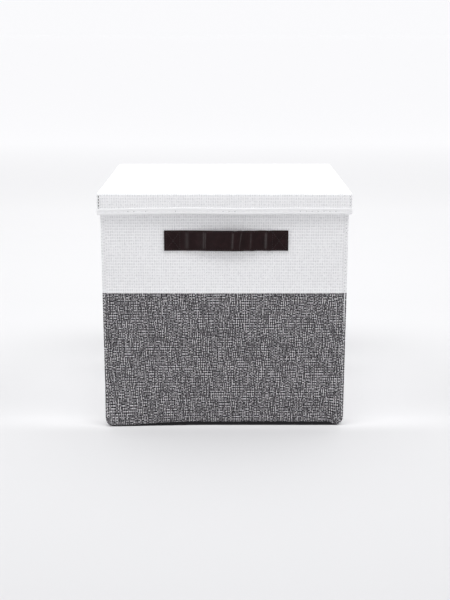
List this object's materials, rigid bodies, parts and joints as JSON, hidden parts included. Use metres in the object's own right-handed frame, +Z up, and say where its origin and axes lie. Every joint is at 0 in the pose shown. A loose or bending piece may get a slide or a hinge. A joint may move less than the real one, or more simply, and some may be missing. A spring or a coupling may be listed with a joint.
{
  "type": "fabric storage bin",
  "caption": "Foldable two-tone fabric storage bin with a lift-off lid, strap handles, stiff walls that fold flat and a base panel that swings up.",
  "frame": {"origin": "middle of the footprint, on the surface that the bin stands on", "axes": "+Z up through the lid, -Y towards the front face with the strap handle, +X along the front face"},
  "size_m": [0.3116, 0.2916, 0.3],
  "materials": {
    "white_cloth": "plain linen-look weave, white",
    "grey_cloth": "plain linen-look weave, grey melange",
    "dark_bottom": "black non-woven cloth",
    "lining_cloth": "pale grey non-woven lining",
    "white_tape": "white woven binding tape",
    "stiff_board": "plain grey-brown board",
    "backing_cloth": "white non-woven patch",
    "strap_leather": "dark brown faux leather, soft gloss"
  },
  "bodies": {
    "front_wall": {"front_grey_cloth": "grey_cloth", "front_white_cloth": "white_cloth", "front_board": "stiff_board", "front_lining": "lining_cloth", "front_rim_tape": "white_tape", "front_left_corner_white": "white_cloth", "front_left_corner_grey": "grey_cloth", "front_right_corner_white": "white_cloth", "front_right_corner_grey": "grey_cloth", "front_handle_backing": "backing_cloth", "bottom_cloth": "dark_bottom"},
    "left_front_wall": {"left_front_grey_cloth": "grey_cloth", "left_front_white_cloth": "white_cloth", "left_front_board": "stiff_board", "left_front_lining": "lining_cloth", "left_front_rim_tape": "white_tape"},
    "left_back_wall": {"left_back_grey_cloth": "grey_cloth", "left_back_white_cloth": "white_cloth", "left_back_board": "stiff_board", "left_back_lining": "lining_cloth", "left_back_rim_tape": "white_tape"},
    "back_wall": {"back_grey_cloth": "grey_cloth", "back_white_cloth": "white_cloth", "back_board": "stiff_board", "back_lining": "lining_cloth", "back_rim_tape": "white_tape", "back_left_corner_white": "white_cloth", "back_left_corner_grey": "grey_cloth", "back_right_corner_white": "white_cloth", "back_right_corner_grey": "grey_cloth", "back_handle_backing": "backing_cloth"},
    "right_front_wall": {"right_front_grey_cloth": "grey_cloth", "right_front_white_cloth": "white_cloth", "right_front_board": "stiff_board", "right_front_lining": "lining_cloth", "right_front_rim_tape": "white_tape"},
    "right_back_wall": {"right_back_grey_cloth": "grey_cloth", "right_back_white_cloth": "white_cloth", "right_back_board": "stiff_board", "right_back_lining": "lining_cloth", "right_back_rim_tape": "white_tape"},
    "base_panel": {"base_board": "stiff_board", "base_cover": "lining_cloth"},
    "lid": {"lid_top_cloth": "white_cloth", "lid_board": "stiff_board", "lid_lining": "lining_cloth", "lid_front_skirt": "white_cloth", "lid_back_skirt": "white_cloth", "lid_left_skirt": "white_cloth", "lid_right_skirt": "white_cloth", "lid_skirt_boards": "stiff_board", "lid_skirt_lining": "lining_cloth", "lid_front_tape": "white_tape", "lid_back_tape": "white_tape", "lid_left_tape": "white_tape", "lid_right_tape": "white_tape"},
    "front_handle": {"front_handle_strap": "strap_leather"},
    "back_handle": {"back_handle_strap": "strap_leather"}
  },
  "joints": [
    {"name": "wall_fold", "type": "hinge", "parent": "front_wall", "child": "left_front_wall", "pos_m": [-0.1468, -0.1306, 0.15], "axis": [0, 0, -1], "range_deg": [0, 86], "deforming": ["bottom_cloth"]},
    {"name": "left_crease", "type": "hinge", "parent": "left_front_wall", "child": "left_back_wall", "pos_m": [-0.1516, 0, 0.15], "axis": [0, 0, 1], "range_deg": [0, 172]},
    {"name": "back_left_corner", "type": "hinge", "parent": "left_back_wall", "child": "back_wall", "pos_m": [-0.1468, 0.1306, 0.15], "axis": [0, 0, -1], "range_deg": [0, 86]},
    {"name": "front_right_corner", "type": "hinge", "parent": "front_wall", "child": "right_front_wall", "pos_m": [0.1468, -0.1306, 0.15], "axis": [0, 0, 1], "range_deg": [0, 86]},
    {"name": "right_crease", "type": "hinge", "parent": "right_front_wall", "child": "right_back_wall", "pos_m": [0.1516, 0, 0.15], "axis": [0, 0, -1], "range_deg": [0, 172]},
    {"name": "base_swing", "type": "hinge", "parent": "front_wall", "child": "base_panel", "pos_m": [0, -0.1358, 0.005], "axis": [1, 0, 0], "range_deg": [0, 90]},
    {"name": "lid_lift", "type": "slide", "parent": "front_wall", "child": "lid", "axis": [0, 0, 1], "range_m": [0, 0.32]},
    {"name": "front_handle_pull", "type": "slide", "parent": "front_wall", "child": "front_handle", "axis": [0, -1, 0], "range_m": [0, 0.008], "stiffness_N_per_m": 150, "deforming": ["front_handle_strap"]},
    {"name": "back_handle_pull", "type": "slide", "parent": "back_wall", "child": "back_handle", "axis": [0, 1, 0], "range_m": [0, 0.008], "stiffness_N_per_m": 150, "deforming": ["back_handle_strap"]}
  ],
  "couplings": [
    {"joint": "left_crease", "follows": "wall_fold", "ratio": 2},
    {"joint": "back_left_corner", "follows": "wall_fold", "ratio": 1},
    {"joint": "front_right_corner", "follows": "wall_fold", "ratio": 1},
    {"joint": "right_crease", "follows": "wall_fold", "ratio": 2}
  ]
}
